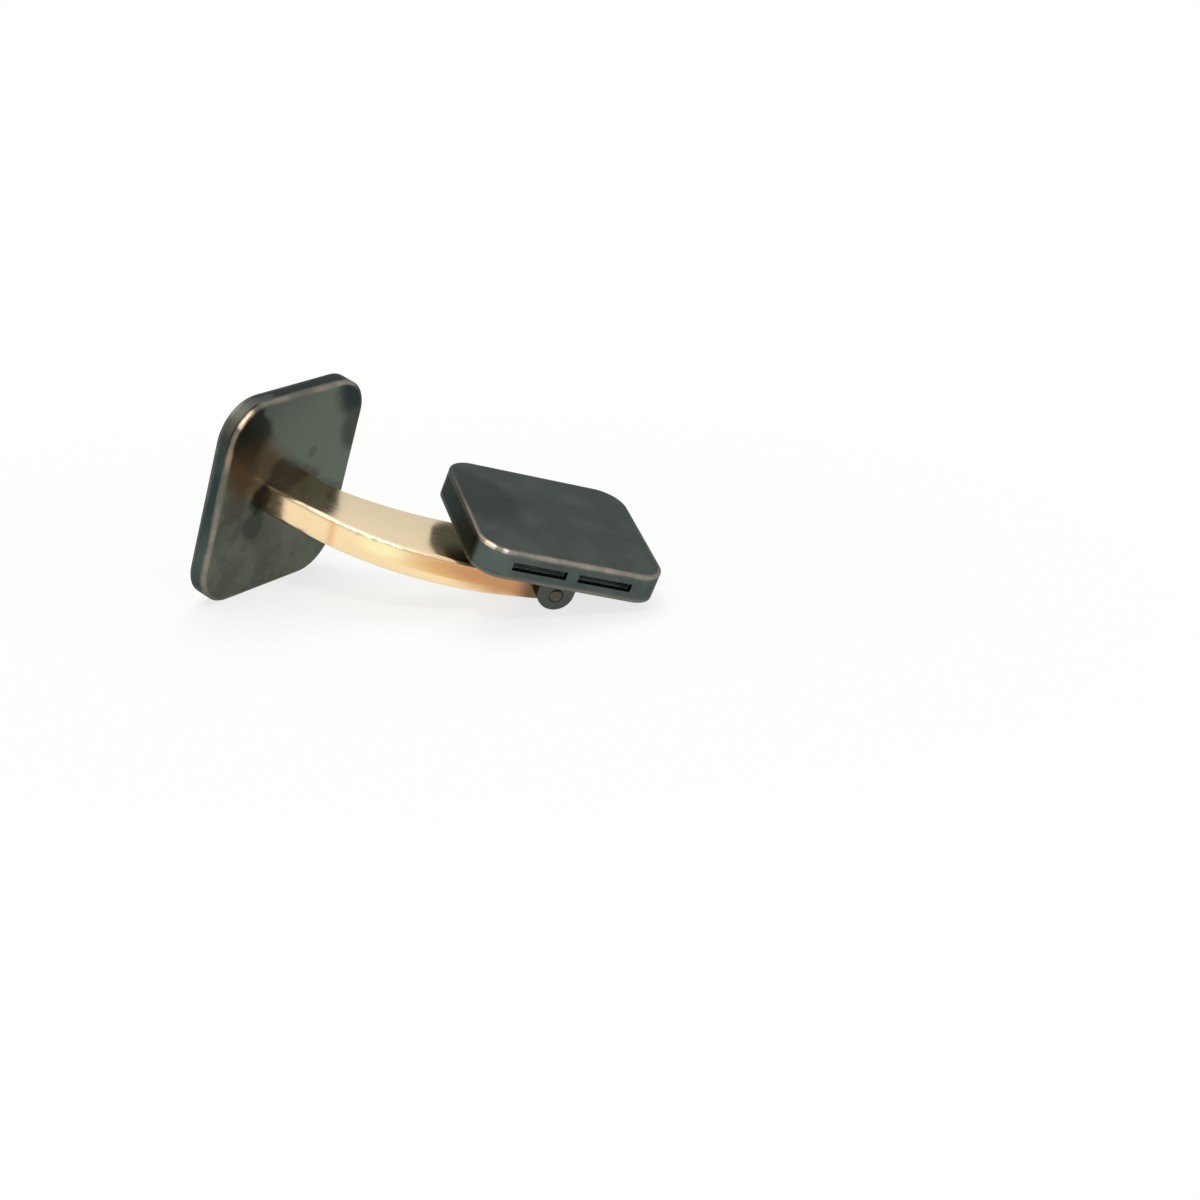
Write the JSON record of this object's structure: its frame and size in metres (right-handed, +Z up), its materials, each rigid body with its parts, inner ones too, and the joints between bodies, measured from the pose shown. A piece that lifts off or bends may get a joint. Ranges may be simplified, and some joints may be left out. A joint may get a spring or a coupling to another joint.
{
  "type": "cufflink",
  "caption": "Cufflink with a flat rounded-rectangular head, a flat gold bar curved edgewise and a box-shaped sprung toggle that swings on a riveted pin.",
  "frame": {"origin": "on the table, below the middle of the resting cufflink's box", "axes": "+X from the head to the hinge, +Z up from the table; the cufflink lies on the head's lower edge and one ear, as in the picture"},
  "size_m": [0.0352, 0.0168, 0.0164],
  "materials": {
    "blackened_plate": "blackened and polished, worn to copper colour on the rims",
    "blackened_band": "blackened",
    "gold_bar": "gold plated and polished",
    "pin_metal": "tarnished",
    "spring_bronze": "rolled phosphor bronze"
  },
  "bodies": {
    "stem": {"head_front_plate": "blackened_plate", "head_side_band": "blackened_band", "head_back_plate": "blackened_plate", "curved_bar": "gold_bar"},
    "toggle": {"toggle_base_plate": "blackened_plate", "toggle_side_band": "blackened_band", "toggle_top_plate": "blackened_plate", "hinge_ear_near": "blackened_band", "hinge_ear_far": "blackened_band", "hinge_pin": "pin_metal", "leaf_spring": "spring_bronze"}
  },
  "joints": [
    {"name": "toggle_swing", "type": "hinge", "parent": "stem", "child": "toggle", "pos_m": [0.00843, 0.00052, 0.0023], "axis": [-0.3146, 0.9162, 0.2483], "range_deg": [-5.2, 174.8], "deforming": ["leaf_spring"]}
  ]
}
